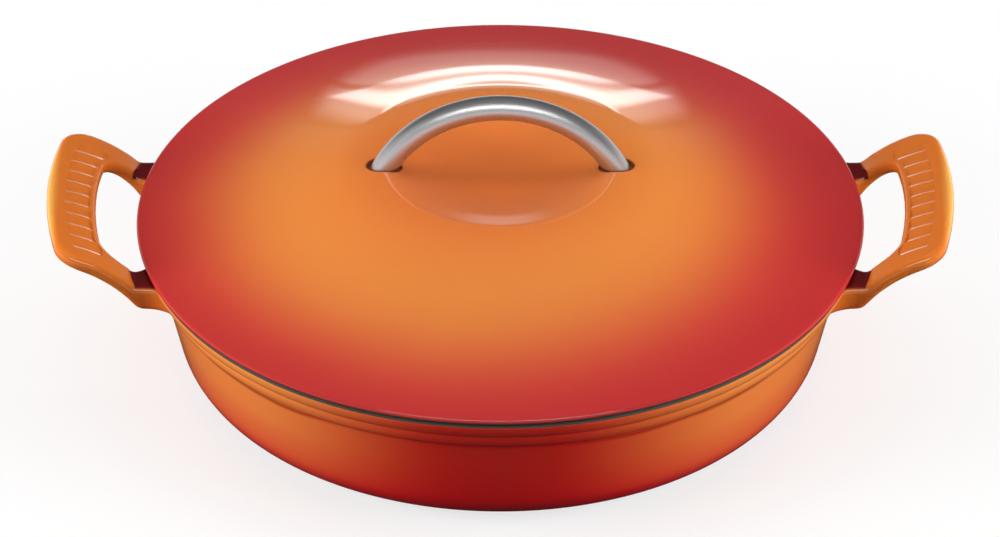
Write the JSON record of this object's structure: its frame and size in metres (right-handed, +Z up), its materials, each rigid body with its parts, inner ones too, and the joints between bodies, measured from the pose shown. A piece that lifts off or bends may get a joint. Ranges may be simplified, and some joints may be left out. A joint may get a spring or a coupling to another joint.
{
  "type": "braiser",
  "caption": "Wide shallow enamelled cast iron pan with ribbed loop handles and a bell-shaped lift-off lid with an arched steel bar handle.",
  "frame": {"origin": "on the surface that the pan stands on, under the middle of the pan", "axes": "+Z up through the middle of pan and lid, +X along the loop handles, -Y towards the near side"},
  "size_m": [0.391, 0.314, 0.1292],
  "materials": {
    "pan_enamel": "glossy flame-coloured enamel, fading from orange at the lip to dark red at the base",
    "lid_enamel": "glossy flame-coloured enamel, fading from orange in the middle to red at the rim",
    "satin_steel": "satin stainless steel",
    "fastener_steel": "plain stainless steel"
  },
  "bodies": {
    "pan": {"pan": "pan_enamel"},
    "lid": {"lid": "lid_enamel", "lid_handle": "satin_steel", "lid_handle_screws": "fastener_steel", "lid_handle_washers": "fastener_steel"}
  },
  "joints": [
    {"name": "lid_lift", "type": "slide", "parent": "pan", "child": "lid", "axis": [0, 0, 1], "range_m": [0, 0.12]}
  ]
}
